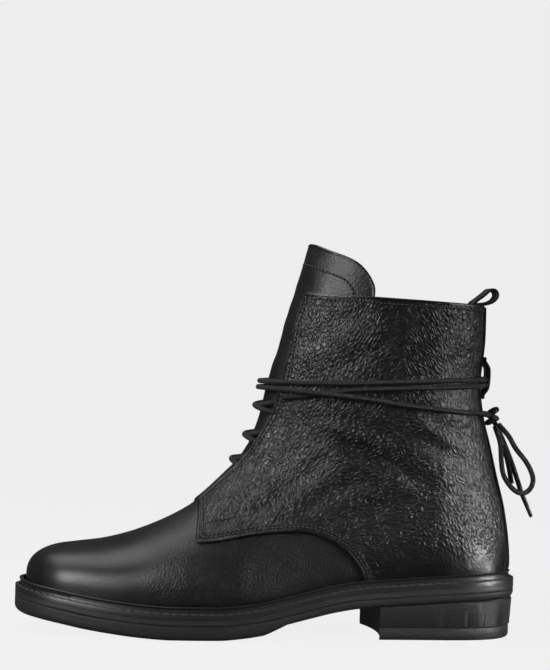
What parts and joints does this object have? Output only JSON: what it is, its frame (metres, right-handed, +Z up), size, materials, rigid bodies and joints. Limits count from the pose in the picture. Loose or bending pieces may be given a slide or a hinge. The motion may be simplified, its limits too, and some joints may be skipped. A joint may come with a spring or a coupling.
{
  "type": "lace up ankle boot",
  "caption": "Black leather lace-up ankle boot with a stacked rubber sole, low heel, high tongue and laces wrapped round the ankle and tied in a bow at the back.",
  "frame": {"origin": "on the ground under the middle of the heel, on the top lift's flat underside", "axes": "+X towards the heel back, so the toe points to -X; +Z up; -Y is the lateral side of this left boot"},
  "size_m": [0.2919, 0.0988, 0.2155],
  "materials": {
    "outsole": "matte black rubber with fine lines",
    "midsole": "matte black rubber",
    "welt": "satin black welt with stitches",
    "heel": "matte black rubber",
    "insole": "matte black lining leather",
    "upper": "semi-gloss black grained leather",
    "tongue": "semi-gloss black fine leather",
    "trim": "semi-gloss black leather strap",
    "lace": "waxed black round cord",
    "aglet": "black film tip"
  },
  "bodies": {
    "root": {"outsole": "outsole", "midsole": "midsole", "welt": "welt", "heel": "heel", "heel_top_lift": "heel", "insole": "insole", "upper": "upper", "tongue": "tongue", "backstay": "trim", "lace_keeper": "trim", "pull_loop": "trim", "lace_crossing_1": "lace", "lace_crossing_2": "lace", "lace_crossing_3": "lace", "lace_wrap_first": "lace", "lace_wrap_second": "lace", "lace_knot": "lace", "lace_bow_loop": "lace", "lace_end_short": "lace", "lace_end_long": "lace", "lace_aglet": "aglet"}
  },
  "joints": []
}
